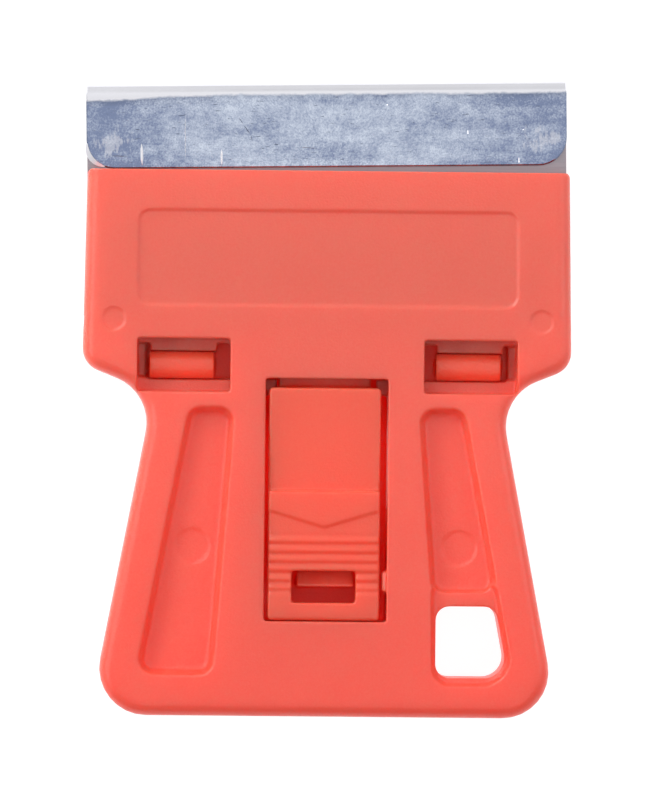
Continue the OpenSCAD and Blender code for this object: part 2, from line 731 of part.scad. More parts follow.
// Steel blade with its cutting edge inside the head
module blade() {
    half = blade_thickness / 2;
    top = spine_height - fold_length / 2;
    color(STEEL) centred() seated()
        across(steel_inset - half_blade, half_blade - steel_inset,
               [[top, half], [top, -half], [grind_height - edge_drop, -half], [-edge_drop, -edge_flat / 2],
                [-edge_drop, edge_flat / 2], [grind_height - edge_drop, half]]);
}

// Half of the spine's section as [y, z] points, from the flank's foot to the top of the fold
function spine_side(flank, fold, nose) =
    let (centre = spine_height - fold_length)
    concat([[0, flank], [centre - fold_taper, flank]],
           [for (k = [0 : 2 * EDGE_STEPS]) let (a = 90 * k / (2 * EDGE_STEPS))
               [centre + nose * sin(a), fold * cos(a)]]);
function flipped(points) = [for (i = [len(points) - 1 : -1 : 0]) [points[i][0], -points[i][1]]];

// Folded aluminium spine, pressed on to the blade's back
module blade_spine() {
    outer = spine_side(spine_half, fold_radius, fold_length);
    inner = spine_side(blade_thickness / 2, fold_radius - spine_sheet, fold_length - spine_sheet);
    plan = box_corners(-half_blade, 0, half_blade, spine_height + 2 * spine_corner, spine_corner);
    color(ALUMINIUM) centred() seated()
        intersection() {
            difference() {
                across(-half_blade, half_blade, concat(outer, flipped(outer)));
                across(-half_blade - PAST, half_blade + PAST,
                       concat([[-PAST, blade_thickness / 2]], inner, flipped(inner),
                              [[-PAST, -blade_thickness / 2]]));
            }
            translate([0, 0, -PAST]) linear_extrude(2 * PAST) polygon(rounded(plan));
        }
}

body();
clamp_lever();
blade();
blade_spine();
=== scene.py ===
"""Pocket razor blade scraper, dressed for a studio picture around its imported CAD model."""

import math

import bpy
from mathutils import Matrix, Vector


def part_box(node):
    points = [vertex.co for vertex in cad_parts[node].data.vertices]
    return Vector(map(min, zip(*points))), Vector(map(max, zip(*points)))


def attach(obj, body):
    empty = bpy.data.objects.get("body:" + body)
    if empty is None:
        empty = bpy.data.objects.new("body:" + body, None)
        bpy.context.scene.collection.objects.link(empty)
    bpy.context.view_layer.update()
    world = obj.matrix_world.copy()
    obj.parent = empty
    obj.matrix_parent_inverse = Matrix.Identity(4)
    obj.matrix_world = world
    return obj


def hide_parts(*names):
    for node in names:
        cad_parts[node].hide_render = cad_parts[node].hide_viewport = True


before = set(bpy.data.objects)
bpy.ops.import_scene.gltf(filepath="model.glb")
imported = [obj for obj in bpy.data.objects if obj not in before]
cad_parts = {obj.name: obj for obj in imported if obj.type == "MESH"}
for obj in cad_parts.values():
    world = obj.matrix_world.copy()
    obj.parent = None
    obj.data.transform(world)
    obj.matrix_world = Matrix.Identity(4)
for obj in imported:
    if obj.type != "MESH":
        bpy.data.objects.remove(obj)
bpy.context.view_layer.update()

bl_info = {
    "name": "Pocket razor blade scraper",
    "version": (1, 0, 0),
    "blender": (4, 5, 0),
    "location": "3D View > Sidebar > Scraper",
    "description": "Dresses the CAD model of a pocket razor blade scraper for a studio picture",
    "category": "Object",
}

# One millimetre in the scene's metres
MM = 0.001
# Distance under which doubled points of a CAD mesh are welded, in millimetres
WELD = 0.001
# How far one round of smoothing moves a point of a moulded skin towards its neighbours' middle
SMOOTHING = 0.5
# Height of the picture that the camera is framed for, which is 653 by 800 pixels
PICTURE_HEIGHT = 800
# Width of the camera's sensor along the picture's longer side, in millimetres
SENSOR = 36.0


def linear(colour):
    """Linear red, green and blue of an sRGB hex colour."""
    parts = [int(colour[i:i + 2], 16) / 255 for i in (1, 3, 5)]
    return tuple(c / 12.92 if c <= 0.04045 else ((c + 0.055) / 1.055) ** 2.4 for c in parts)


class ScraperFinish(bpy.types.PropertyGroup):
    """Colours and surface sizes of the scraper's materials."""

    plastic: bpy.props.FloatVectorProperty(
        name="Plastic", description="Colour of the moulded plastic",
        default=linear("#FB6F5C"), min=0, max=1, subtype="COLOR")
    # The deep colour also carries the painted shade towards the handle's end
    plastic_deep: bpy.props.FloatVectorProperty(
        name="Plastic, deep", description="Colour of the plastic where the pigment is denser",
        default=linear("#FB5947"), min=0, max=1, subtype="COLOR")
    # The lever's colour, a little more orange than the body's, is painted: it stands in for the weaker
    # sheen on the lever's sloped tab
    lever_plastic: bpy.props.FloatVectorProperty(
        name="Lever plastic",
        description="Colour of the lever, which is from a slightly more orange batch",
        default=linear("#FB694F"), min=0, max=1, subtype="COLOR")
    # The lever's deep colour also carries the painted shade towards the handle's end
    lever_deep: bpy.props.FloatVectorProperty(
        name="Lever plastic, deep",
        description="Colour of the lever where the pigment is denser",
        default=linear("#FB553E"), min=0, max=1, subtype="COLOR")
    aluminium: bpy.props.FloatVectorProperty(
        name="Aluminium", description="Colour of the spine's bare sheet",
        default=linear("#D4DDED"), min=0, max=1, subtype="COLOR")
    aluminium_dull: bpy.props.FloatVectorProperty(
        name="Aluminium, dull", description="Colour of the sheet's oxidised patches",
        default=linear("#808DAD"), min=0, max=1, subtype="COLOR")
    # The burnished colour is also the fold's painted highlight
    burnished: bpy.props.FloatVectorProperty(
        name="Burnished",
        description="Colour of the sheet where the fold or a knock has rubbed it bright",
        default=linear("#ECECF2"), min=0, max=1, subtype="COLOR")
    steel: bpy.props.FloatVectorProperty(
        name="Steel", description="Colour of the blade's hardened steel",
        default=linear("#A9A1A8"), min=0, max=1, subtype="COLOR")
    texture_size: bpy.props.FloatProperty(
        name="Mould texture",
        description="Grain of the mould's texture, a little coarser than real so that it shows",
        default=0.16 * MM, min=0.05 * MM, max=0.5 * MM, precision=5, unit="LENGTH")
    ripple_size: bpy.props.FloatProperty(
        name="Flow ripple", description="Length of the ripples that the plastic's flow leaves",
        default=5 * MM, min=1 * MM, max=20 * MM, precision=4, unit="LENGTH")
    mottle_size: bpy.props.FloatProperty(
        name="Mottle", description="Size of the sheet's oxide mottle",
        default=1.1 * MM, min=0.3 * MM, max=5 * MM, precision=4, unit="LENGTH")
    grain_size: bpy.props.FloatProperty(
        name="Sheet grain",
        description="Grain of the sheet's surface, drawn coarser than real so that it shows",
        default=0.14 * MM, min=0.05 * MM, max=0.4 * MM, precision=5, unit="LENGTH")


class ScraperShape(bpy.types.PropertyGroup):
    """Sizes of the forms that the scene adds to the CAD pieces."""

    mould_cell: bpy.props.FloatProperty(
        name="Mould cell", description="Cell size of the moulded skins, which sets their edge radius",
        default=0.12 * MM, min=0.1 * MM, max=0.4 * MM, precision=5, unit="LENGTH")
    mould_rounds: bpy.props.IntProperty(
        name="Mould rounds", description="How often the moulded skins are smoothed",
        default=4, min=0, max=20)
    sharp_end: bpy.props.FloatProperty(
        name="Sharp end", description="Length at the blade end that the smoothing leaves sharp",
        default=0.25 * MM, min=0, max=1 * MM, precision=5, unit="LENGTH")
    body_faces: bpy.props.IntProperty(
        name="Body faces", description="How many triangles the body's skin may have",
        default=120000, min=1000)
    lever_faces: bpy.props.IntProperty(
        name="Lever faces", description="How many triangles the lever's skin may have",
        default=70000, min=1000)
    spine_width: bpy.props.FloatProperty(
        name="Spine width", description="Width of the folded spine, along the blade",
        default=39 * MM, min=36 * MM, max=40 * MM, precision=5, unit="LENGTH")
    spine_height: bpy.props.FloatProperty(
        name="Spine height", description="Height of the folded spine, from its foot to its fold",
        default=6.85 * MM, min=5 * MM, max=8 * MM, precision=5, unit="LENGTH")
    flank: bpy.props.FloatProperty(
        name="Flank", description="Distance of the spine's flanks from the blade's middle",
        default=0.515 * MM, min=0.4 * MM, max=0.8 * MM, precision=6, unit="LENGTH")
    blade_skew: bpy.props.FloatProperty(
        name="Blade skew", description="How far the blade sits askew in its slot",
        default=math.radians(1.05), min=0, max=math.radians(1.5), subtype="ANGLE")
    spine_corner: bpy.props.FloatProperty(
        name="Spine corner", description="Radius of the spine's lower corners",
        default=2.3 * MM, min=0.8 * MM, max=2.5 * MM, precision=5, unit="LENGTH")
    bent_edge: bpy.props.FloatProperty(
        name="Bent edge",
        description="How far the sheet's edge is bent out at the lower left corner",
        default=0.3 * MM, min=0.1 * MM, max=0.5 * MM, precision=5, unit="LENGTH")
    cut_edge: bpy.props.FloatProperty(
        name="Cut edge", description="Chamfer of the spine's cut edges",
        default=0.11 * MM, min=0, max=0.15 * MM, precision=6, unit="LENGTH")


class ScraperStage(bpy.types.PropertyGroup):
    """Camera, light and floor."""

    lens: bpy.props.FloatProperty(
        name="Lens", description="Focal length of the camera, in millimetres",
        default=400, min=50, max=800, unit="CAMERA")
    scale: bpy.props.FloatProperty(
        name="Scale", description="Pixels to the millimetre at the aim point",
        default=12.29, min=5, max=20)
    lean: bpy.props.FloatProperty(
        name="Lean", description="How far the camera leans out to the left of the upright",
        default=math.radians(1.2), subtype="ANGLE")
    roll: bpy.props.FloatProperty(
        name="Roll", description="How far the part is turned in the picture, clockwise",
        default=math.radians(0.57), subtype="ANGLE")
    aim: bpy.props.FloatVectorProperty(
        name="Aim", description="Point at the picture's middle",
        default=(0.02 * MM, -0.19 * MM, 3.5 * MM), subtype="TRANSLATION")
    floor: bpy.props.FloatVectorProperty(
        name="Floor", description="Colour of the light table",
        default=linear("#787878"), min=0, max=1, subtype="COLOR")
    glow: bpy.props.FloatProperty(
        name="Glow", description="Light that comes up through the light table", default=0.95, min=0)
    sky: bpy.props.FloatProperty(
        name="Ceiling", description="Light of the white room's ceiling", default=0.95, min=0)
    walls: bpy.props.FloatProperty(
        name="Walls", description="Light of the white room's walls", default=0.25, min=0)
    end_wall: bpy.props.FloatProperty(
        name="End wall", description="Light of the wall past the blade end", default=0.55, min=0)
    key: bpy.props.FloatProperty(
        name="Key light", description="Power of the soft box at the upper left",
        default=1.08, min=0, unit="POWER")
    side: bpy.props.FloatProperty(
        name="Side light", description="Power of the soft box at the left",
        default=0.22, min=0, unit="POWER")
    fill: bpy.props.FloatProperty(
        name="Fill light", description="Power of the soft box at the right",
        default=0.32, min=0, unit="POWER")


def add(tree, kind, settings=None, inputs=None):
    """Adds a node with its settings; each input gets a value or a link from another node's output."""
    node = tree.nodes.new(kind)
    for name, value in (settings or {}).items():
        setattr(node, name, value)
    for name, value in (inputs or {}).items():
        if isinstance(value, bpy.types.NodeSocket):
            tree.links.new(value, node.inputs[name])
        elif isinstance(value, bpy.types.Node):
            tree.links.new(value.outputs[0], node.inputs[name])
        else:
            node.inputs[name].default_value = value
    return node


def new_material(name):
    """A material with an empty tree, and coordinates of the part in millimetres."""
    material = bpy.data.materials.new(name)
    material.use_nodes = True
    tree = material.node_tree
    tree.nodes.clear()
    place = add(tree, "ShaderNodeTexCoord")
    millimetres = add(tree, "ShaderNodeVectorMath", {"operation": "SCALE"},
                      {"Vector": place.outputs["Object"], "Scale": 1 / MM})
    return material, tree, millimetres


def paint(colour, share=1.0):
    """Red, green, blue and alpha of a colour, or of a share of its brightness."""
    return (*[share * c for c in colour], 1)


# Values between which most of a noise pattern lies
NOISE_LOW, NOISE_HIGH = 0.3, 0.7

# Ends of the painted shade along the part, in millimetres, and the share of the deep colour that it adds
# at each;
# it darkens the plastic from the blade end to the handle's end in place of the light's fall-off
FALLOFF_START, FALLOFF_END = 18.0, -26.0
FALLOFF_SHADE_START, FALLOFF_SHADE_END = -0.45, 0.3
# How strongly the texture and the ripples draw the pigment
TEXTURE_PIGMENT, RIPPLE_PIGMENT = 0.9, 0.3
# Roughness of the skin where the ripples are low and where they are high
SKIN_GLOSSY, SKIN_DULL = 0.3, 0.42
# Heights over which the front face gives way to the sunk floors, and the texture's strength on each
FRONT_FACE, SUNK_FLOOR = 6.8, 6.4
FRONT_TEXTURE, SUNK_TEXTURE = 0.45, 1.0
# Depth of the mould's texture, and depth and strength of the ripples
TEXTURE_DEPTH = 0.05 * MM
RIPPLE_DEPTH, RIPPLE_STRENGTH = 0.02 * MM, 0.35
# How far light goes into the plastic, with the shares of that for red, green and blue
LIGHT_REACH, LIGHT_SHARES = 2.5 * MM, (1.0, 0.12, 0.08)
ABS_IOR = 1.54


def coral_abs(finish, name, light, deep):
    """Moulded ABS, mass-coloured coral red: a half-gloss skin off a spark-eroded mould.

    The texture breaks the highlights into specks, most of all on the sunk floors, slow ripples of the
    flow make them uneven, and light that goes into the plastic comes out a deeper red. The colour is
    also painted deeper from the blade end to the handle's end, a painted shade in place of the light's
    fall-off along the part.
    """
    material, tree, place = new_material(name)
    parts = add(tree, "ShaderNodeSeparateXYZ", None, {"Vector": place})
    texture = add(tree, "ShaderNodeTexNoise", None, {
        "Vector": place, "Scale": MM / finish.texture_size, "Detail": 2.0, "Roughness": 0.6})
    ripple = add(tree, "ShaderNodeTexNoise", None, {
        "Vector": place, "Scale": MM / finish.ripple_size, "Detail": 3.0, "Roughness": 0.5})
    # Painted shade: the colour grows deeper from the blade end to the handle's end, in place of the
    # light's fall-off along the part
    flow = add(tree, "ShaderNodeMapRange", None, {
        "Value": parts.outputs["Y"], "From Min": FALLOFF_START, "From Max": FALLOFF_END,
        "To Min": FALLOFF_SHADE_START, "To Max": FALLOFF_SHADE_END})
    grainy = add(tree, "ShaderNodeMath", {"operation": "MULTIPLY_ADD"},
                 {0: texture, 1: TEXTURE_PIGMENT, 2: flow})
    pigment = add(tree, "ShaderNodeMath", {"operation": "MULTIPLY_ADD", "use_clamp": True},
                  {0: ripple, 1: RIPPLE_PIGMENT, 2: grainy})
    colour = add(tree, "ShaderNodeMix", {"data_type": "RGBA"},
                 {"Factor": pigment, "A": paint(light), "B": paint(deep)})
    gloss = add(tree, "ShaderNodeMapRange", None, {
        "Value": ripple, "From Min": NOISE_LOW, "From Max": NOISE_HIGH,
        "To Min": SKIN_GLOSSY, "To Max": SKIN_DULL})
    sunk = add(tree, "ShaderNodeMapRange", None, {
        "Value": parts.outputs["Z"], "From Min": FRONT_FACE, "From Max": SUNK_FLOOR,
        "To Min": FRONT_TEXTURE, "To Max": SUNK_TEXTURE})
    slow = add(tree, "ShaderNodeBump", None,
               {"Strength": RIPPLE_STRENGTH, "Distance": RIPPLE_DEPTH, "Height": ripple})
    fine = add(tree, "ShaderNodeBump", None,
               {"Strength": sunk, "Distance": TEXTURE_DEPTH, "Height": texture, "Normal": slow})
    skin = add(tree, "ShaderNodeBsdfPrincipled", {"subsurface_method": "RANDOM_WALK"}, {
        "Base Color": colour.outputs["Result"], "Roughness": gloss, "Normal": fine, "IOR": ABS_IOR,
        "Subsurface Weight": 1.0, "Subsurface Radius": LIGHT_SHARES, "Subsurface Scale": LIGHT_REACH})
    add(tree, "ShaderNodeOutputMaterial", None, {"Surface": skin})
    return material


# Waves to the millimetre along and across the spine: the rollers' streaks, the pits and the rubs
STREAKS, PITS, RUBS = (0.16, 0.9, 0.9), (1.6, 9.0, 9.0), (2.4, 0.8, 0.8)
# Where the spine grows duller, in millimetres from its middle, and by how much
WORN_START, WORN_END, WORN_TONE = 9.0, 19.0, 0.32
# How strongly the streaks and the grain draw the tone, and the tones of clean and of dull sheet
STREAK_TONE, GRAIN_TONE = 0.8, 1.0
CLEAN_TONE, DULL_TONE = 1.1, 1.78
# Noise at which a pit starts and at which it is dark, and how bright its floor is
PIT_START, PIT_DARK, PIT_SHADE = 0.66, 0.74, 0.45
# Middle and size of the scuffs, in millimetres, how they fade, and the noise at which they show
SCUFF_PLACE, SCUFF_SIZE, SCUFF_FADE = (17.4, 2.2, 0), (1.8, 1.4, 1), -0.22
SCUFF_START, SCUFF_FULL, SCUFF_STRENGTH = 0.36, 0.46, 0.4
# Height of the bright fold, which is partly rubbed and partly a painted highlight, and how far from its
# start it begins and is full, in millimetres
FOLD_HEIGHT, FOLD_BEGINS, FOLD_FULL = 0.95, 0.15, 0.35
# How far the mottle frays the fold's edge, and how much wider the fold's painted highlight is drawn at
# the left end
FOLD_FRAY = 0.5
LEFT_END, LEFT_STOP, LEFT_HIGHLIGHT_WIDER = -19.5, -9.0, 0.42
# Where the darker band just under the fold begins, and its strength
CREASE_BEGINS, CREASE_STRENGTH = -0.12, 0.55
# Roughness of clean and of dull sheet
SHEET_GLOSSY, SHEET_DULL = 0.16, 0.26
# Depth and strength of the sheet's waves and of its grain
WAVE_DEPTH, WAVE_STRENGTH = 0.03 * MM, 0.2
GRAIN_DEPTH, GRAIN_STRENGTH = 0.01 * MM, 0.16


def bare_aluminium(finish, shape, seat):
    """Bare aluminium sheet, rolled, folded and pressed on: a dull grey mirror with a bluish mottle.

    The rollers leave streaks and fine dark pits along the spine, handling leaves light scuffs near its
    lower corners, the fold is rubbed bright and carries a painted highlight, drawn wider at the left
    end, and a darker band runs just under the fold.
    """
    material, tree, place = new_material("pressed_bare_aluminium")
    # Millimetres along and across the askew spine, from the middle of its foot
    along = add(tree, "ShaderNodeMapping", {"vector_type": "TEXTURE"},
                {"Vector": place, "Location": seat / MM, "Rotation": (0, 0, shape.blade_skew)})
    parts = add(tree, "ShaderNodeSeparateXYZ", None, {"Vector": along})
    outwards = add(tree, "ShaderNodeMath", {"operation": "ABSOLUTE"}, {0: parts.outputs["X"]})

    # Oxide: mottle, grain, streaks and the duller ends
    mottle = add(tree, "ShaderNodeTexNoise", None, {
        "Vector": along, "Scale": MM / finish.mottle_size, "Detail": 6.0, "Roughness": 0.68})
    grain = add(tree, "ShaderNodeTexNoise", None, {
        "Vector": along, "Scale": MM / finish.grain_size, "Detail": 2.0, "Roughness": 0.7})
    drawn_out = add(tree, "ShaderNodeMapping", None, {"Vector": along, "Scale": STREAKS})
    streaks = add(tree, "ShaderNodeTexNoise", None, {"Vector": drawn_out, "Scale": 1.0, "Detail": 4.0})
    worn = add(tree, "ShaderNodeMapRange", {"interpolation_type": "SMOOTHSTEP"}, {
        "Value": outwards, "From Min": WORN_START, "From Max": WORN_END,
        "To Min": 0.0, "To Max": WORN_TONE})
    tone = add(tree, "ShaderNodeMath", {"operation": "MULTIPLY_ADD"},
               {0: streaks, 1: STREAK_TONE, 2: mottle})
    grainy = add(tree, "ShaderNodeMath", {"operation": "MULTIPLY_ADD"},
                 {0: grain, 1: GRAIN_TONE, 2: tone})
    duller = add(tree, "ShaderNodeMath", {"operation": "ADD"}, {0: grainy, 1: worn})
    dull = add(tree, "ShaderNodeMapRange", None,
               {"Value": duller, "From Min": CLEAN_TONE, "From Max": DULL_TONE})

    # Pits that the rollers have drawn out
    rolled = add(tree, "ShaderNodeMapping", None, {"Vector": along, "Scale": PITS})
    pit_noise = add(tree, "ShaderNodeTexNoise", None, {"Vector": rolled, "Scale": 1.0, "Detail": 3.0})
    pits = add(tree, "ShaderNodeMapRange", None,
               {"Value": pit_noise, "From Min": PIT_START, "From Max": PIT_DARK})

    # Scuffs near both lower corners
    corner = add(tree, "ShaderNodeCombineXYZ", None, {"X": outwards, "Y": parts.outputs["Y"]})
    from_scuff = add(tree, "ShaderNodeMapping", {"vector_type": "TEXTURE"},
                     {"Vector": corner, "Location": SCUFF_PLACE, "Scale": SCUFF_SIZE})
    reach = add(tree, "ShaderNodeVectorMath", {"operation": "LENGTH"}, {0: from_scuff})
    upright = add(tree, "ShaderNodeMapping", None, {"Vector": along, "Scale": RUBS})
    rub = add(tree, "ShaderNodeTexNoise", None,
              {"Vector": upright, "Scale": 1.0, "Detail": 4.0, "Roughness": 0.7})
    broken = add(tree, "ShaderNodeMath", {"operation": "MULTIPLY_ADD"},
                 {0: reach.outputs["Value"], 1: SCUFF_FADE, 2: rub})
    scuffs = add(tree, "ShaderNodeMapRange", None, {
        "Value": broken, "From Min": SCUFF_START, "From Max": SCUFF_FULL,
        "To Min": 0.0, "To Max": SCUFF_STRENGTH})

    # The bright fold, partly rubbed and partly a painted highlight, which is painted wider at the
    # spine's left end, and the darker band just under it
    painted_wider = add(tree, "ShaderNodeMapRange", None, {
        "Value": parts.outputs["X"], "From Min": LEFT_END, "From Max": LEFT_STOP,
        "To Min": LEFT_HIGHLIGHT_WIDER, "To Max": 0.0})
    rubbed_to = add(tree, "ShaderNodeMath", {"operation": "ADD"}, {0: parts.outputs["Y"], 1: painted_wider})
    fold_line = add(tree, "ShaderNodeMath", {"operation": "MULTIPLY_ADD"},
                    {0: mottle, 1: FOLD_FRAY, 2: rubbed_to})
    fold_start = shape.spine_height / MM - FOLD_HEIGHT
    fold = add(tree, "ShaderNodeMapRange", None, {
        "Value": fold_line, "From Min": fold_start + FOLD_BEGINS, "From Max": fold_start + FOLD_FULL})
    rubbed = add(tree, "ShaderNodeMath", {"operation": "MAXIMUM"}, {0: scuffs, 1: fold})
    # Darker band just under the fold, broken by the rub noise
    crease = add(tree, "ShaderNodeMapRange", None, {
        "Value": fold_line, "From Min": fold_start + CREASE_BEGINS, "From Max": fold_start + FOLD_BEGINS,
        "To Min": 0.0, "To Max": CREASE_STRENGTH})
    darker_under_fold = add(tree, "ShaderNodeMath", {"operation": "MULTIPLY"}, {0: crease, 1: rub})
    dark = add(tree, "ShaderNodeMath", {"operation": "MAXIMUM"}, {0: pits, 1: darker_under_fold})

    sheet = add(tree, "ShaderNodeMix", {"data_type": "RGBA"}, {
        "Factor": dull, "A": paint(finish.aluminium), "B": paint(finish.aluminium_dull)})
    pitted = add(tree, "ShaderNodeMix", {"data_type": "RGBA"}, {
        "Factor": dark, "A": sheet.outputs["Result"], "B": paint(finish.aluminium_dull, PIT_SHADE)})
    # The fold's bright share is partly rubbed sheet and partly a painted highlight
    bright = add(tree, "ShaderNodeMix", {"data_type": "RGBA"}, {
        "Factor": rubbed, "A": pitted.outputs["Result"], "B": paint(finish.burnished)})
    gloss = add(tree, "ShaderNodeMapRange", None,
                {"Value": dull, "To Min": SHEET_GLOSSY, "To Max": SHEET_DULL})
    waves = add(tree, "ShaderNodeBump", None,
                {"Strength": WAVE_STRENGTH, "Distance": WAVE_DEPTH, "Height": mottle})
    bump = add(tree, "ShaderNodeBump", None,
               {"Strength": GRAIN_STRENGTH, "Distance": GRAIN_DEPTH, "Height": grain, "Normal": waves})
    metal = add(tree, "ShaderNodeBsdfPrincipled", None, {
        "Base Color": bright.outputs["Result"], "Metallic": 1.0, "Roughness": gloss, "Normal": bump})
    add(tree, "ShaderNodeOutputMaterial", None, {"Surface": metal})
    return material


# Drag marks in a knock, and blooms in a dark scored line, to the millimetre
DRAG_MARKS, SCORE_BLOOMS = 9.0, 4.0
# Shares of the dull sheet's brightness that a dark scored line has
SCORE_DARK, SCORE_LIGHT = 0.3, 0.7
# Roughness along the drag marks, and through the blooms
KNOCK_GLOSSY, KNOCK_DULL = 0.25, 0.5
SCORE_GLOSSY, SCORE_DULL = 0.4, 0.6


def burnished_aluminium(finish):
    """Aluminium that a knock has smeared up and rubbed bright: a near-white glint."""
    material, tree, place = new_material("burnished_aluminium")
    drag = add(tree, "ShaderNodeTexNoise", None, {"Vector": place, "Scale": DRAG_MARKS, "Detail": 2.0})
    gloss = add(tree, "ShaderNodeMapRange", None,
                {"Value": drag, "To Min": KNOCK_GLOSSY, "To Max": KNOCK_DULL})
    metal = add(tree, "ShaderNodeBsdfPrincipled", None, {
        "Base Color": paint(finish.burnished), "Metallic": 1.0, "Roughness": gloss})
    add(tree, "ShaderNodeOutputMaterial", None, {"Surface": metal})
    return material


def oxidised_aluminium(finish):
    """Aluminium drawn dark in a scored line: a matt, dark blue grey."""
    material, tree, place = new_material("oxidised_aluminium")
    bloom = add(tree, "ShaderNodeTexNoise", None,
                {"Vector": place, "Scale": SCORE_BLOOMS, "Detail": 2.0})
    colour = add(tree, "ShaderNodeMix", {"data_type": "RGBA"}, {
        "Factor": bloom, "A": paint(finish.aluminium_dull, SCORE_DARK),
        "B": paint(finish.aluminium_dull, SCORE_LIGHT)})
    gloss = add(tree, "ShaderNodeMapRange", None,
                {"Value": bloom, "To Min": SCORE_GLOSSY, "To Max": SCORE_DULL})
    metal = add(tree, "ShaderNodeBsdfPrincipled", None, {
        "Base Color": colour.outputs["Result"], "Metallic": 1.0, "Roughness": gloss})
    add(tree, "ShaderNodeOutputMaterial", None, {"Surface": metal})
    return material


# Grinding lines to the millimetre along and across the strip, coarser than real so that they show
GRINDING = (0.4, 14.0, 14.0)
# Share of the steel's brightness in the grooves, and their depth and strength
GROOVE_SHADE, GROOVE_DEPTH, GROOVE_STRENGTH = 0.85, 0.01 * MM, 0.15
# Roughness of the steel in the grooves and between them
STEEL_GLOSSY, STEEL_DULL = 0.28, 0.42


def ground_steel(finish):
    """Hardened carbon steel strip, ground and oiled: a satin grey with fine lines along the strip."""
    material, tree, place = new_material("ground_carbon_steel")
    lines = add(tree, "ShaderNodeMapping", None, {"Vector": place, "Scale": GRINDING})
    grind = add(tree, "ShaderNodeTexNoise", None, {"Vector": lines, "Scale": 1.0, "Detail": 3.0})
    shade = add(tree, "ShaderNodeMapRange", None,
                {"Value": grind, "From Min": NOISE_LOW, "From Max": NOISE_HIGH})
    colour = add(tree, "ShaderNodeMix", {"data_type": "RGBA"}, {
        "Factor": shade, "A": paint(finish.steel, GROOVE_SHADE), "B": paint(finish.steel)})
    gloss = add(tree, "ShaderNodeMapRange", None,
                {"Value": grind, "To Min": STEEL_GLOSSY, "To Max": STEEL_DULL})
    bump = add(tree, "ShaderNodeBump", None,
               {"Strength": GROOVE_STRENGTH, "Distance": GROOVE_DEPTH, "Height": grind})
    metal = add(tree, "ShaderNodeBsdfPrincipled", None, {
        "Base Color": colour.outputs["Result"], "Metallic": 1.0, "Roughness": gloss, "Normal": bump})
    add(tree, "ShaderNodeOutputMaterial", None, {"Surface": metal})
    return material


def dressed(piece, material):
    """Gives a piece one material on all its faces."""
    piece.data.materials.clear()
    piece.data.materials.append(material)


def evaluated_mesh(piece):
    """The piece's mesh with its modifiers applied."""
    graph = bpy.context.evaluated_depsgraph_get()
    return bpy.data.meshes.new_from_object(piece.evaluated_get(graph))


def moulded_skin(node, name, shape, faces):
    """Copy of a CAD node with the soft edges and filleted inner corners of a moulding, in so many faces.

    It is worked in millimetres, and drawn back into the node's box at the end.
    """
    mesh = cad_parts[node].data.copy()
    mesh.transform(Matrix.Scale(1 / MM, 4))
    piece = bpy.data.objects.new(name, mesh)
    bpy.context.collection.objects.link(piece)
    weld = piece.modifiers.new("weld", "WELD")
    weld.merge_threshold = WELD
    low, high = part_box(node)
    cells = piece.modifiers.new("cells", "REMESH")
    cells.mode = "VOXEL"
    cells.voxel_size = shape.mould_cell / MM
    dense = evaluated_mesh(piece)
    piece.modifiers.clear()
    piece.data = dense
    soft_to = (high[1] - shape.sharp_end) / MM
    soft = piece.vertex_groups.new(name="soft")
    soft.add([v.index for v in dense.vertices if v.co.y < soft_to], 1.0, "REPLACE")
    rounds = piece.modifiers.new("rounds", "SMOOTH")
    rounds.factor = SMOOTHING
    rounds.iterations = shape.mould_rounds
    rounds.vertex_group = soft.name
    # The dense mesh is of quads, each of which counts as two triangles
    fewer = piece.modifiers.new("fewer", "DECIMATE")
    fewer.ratio = min(1.0, faces / (2 * len(dense.polygons)))
    final = evaluated_mesh(piece)
    final.transform(Matrix.Scale(MM, 4))
    for vertex in final.vertices:
        vertex.co = [min(max(c, a), b) for c, a, b in zip(vertex.co, low, high)]
    piece.modifiers.clear()
    piece.data = final
    final.shade_smooth()
    return piece


class SCRAPER_OT_body(bpy.types.Operator):
    """Makes the moulded body: front wall, handle, hinge bearings and catch in one piece"""

    bl_idname = "scraper.body"
    bl_label = "Moulded body"

    def execute(self, context):
        finish, shape = context.scene.scraper_finish, context.scene.scraper_shape
        piece = moulded_skin("body", "moulded_body", shape, shape.body_faces)
        dressed(piece, coral_abs(finish, "moulded_coral_abs", finish.plastic, finish.plastic_deep))
        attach(piece, "body")
        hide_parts("body")
        return {"FINISHED"}


class SCRAPER_OT_lever(bpy.types.Operator):
    """Makes the clamp lever: jaw, hinge barrels and press tab in one piece"""

    bl_idname = "scraper.lever"
    bl_label = "Clamp lever"

    def execute(self, context):
        finish, shape = context.scene.scraper_finish, context.scene.scraper_shape
        piece = moulded_skin("clamp_lever", "moulded_clamp_lever", shape, shape.lever_faces)
        # The lever's more orange colour is a painted stand-in for the weaker sheen on its tab
        dressed(piece, coral_abs(finish, "moulded_lever_abs", finish.lever_plastic, finish.lever_deep))
        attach(piece, "clamp_lever")
        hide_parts("clamp_lever")
        return {"FINISHED"}


class SCRAPER_OT_blade(bpy.types.Operator):
    """Dresses the blade's steel strip"""

    bl_idname = "scraper.blade"
    bl_label = "Blade steel"

    def execute(self, context):
        dressed(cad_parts["blade"], ground_steel(context.scene.scraper_finish))
        return {"FINISHED"}


def spine_seat(shape):
    """The spine's own frame: where the middle of its foot sits, and how it is turned."""
    low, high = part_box("blade_spine")
    skew = shape.blade_skew
    foot = high[1] - shape.spine_width / 2 * math.sin(skew) - shape.spine_height * math.cos(skew)
    middle = (low[0] + high[0] + (shape.spine_height + shape.spine_corner) * math.sin(skew)) / 2
    return Matrix.Translation((middle, foot, (low[2] + high[2]) / 2)) @ Matrix.Rotation(skew, 4, "Z")


# Angle between faces from which a cut edge is broken, and from which a fold in the shading stays sharp
BROKEN_FROM, SHARP_FROM = math.radians(50), math.radians(15)


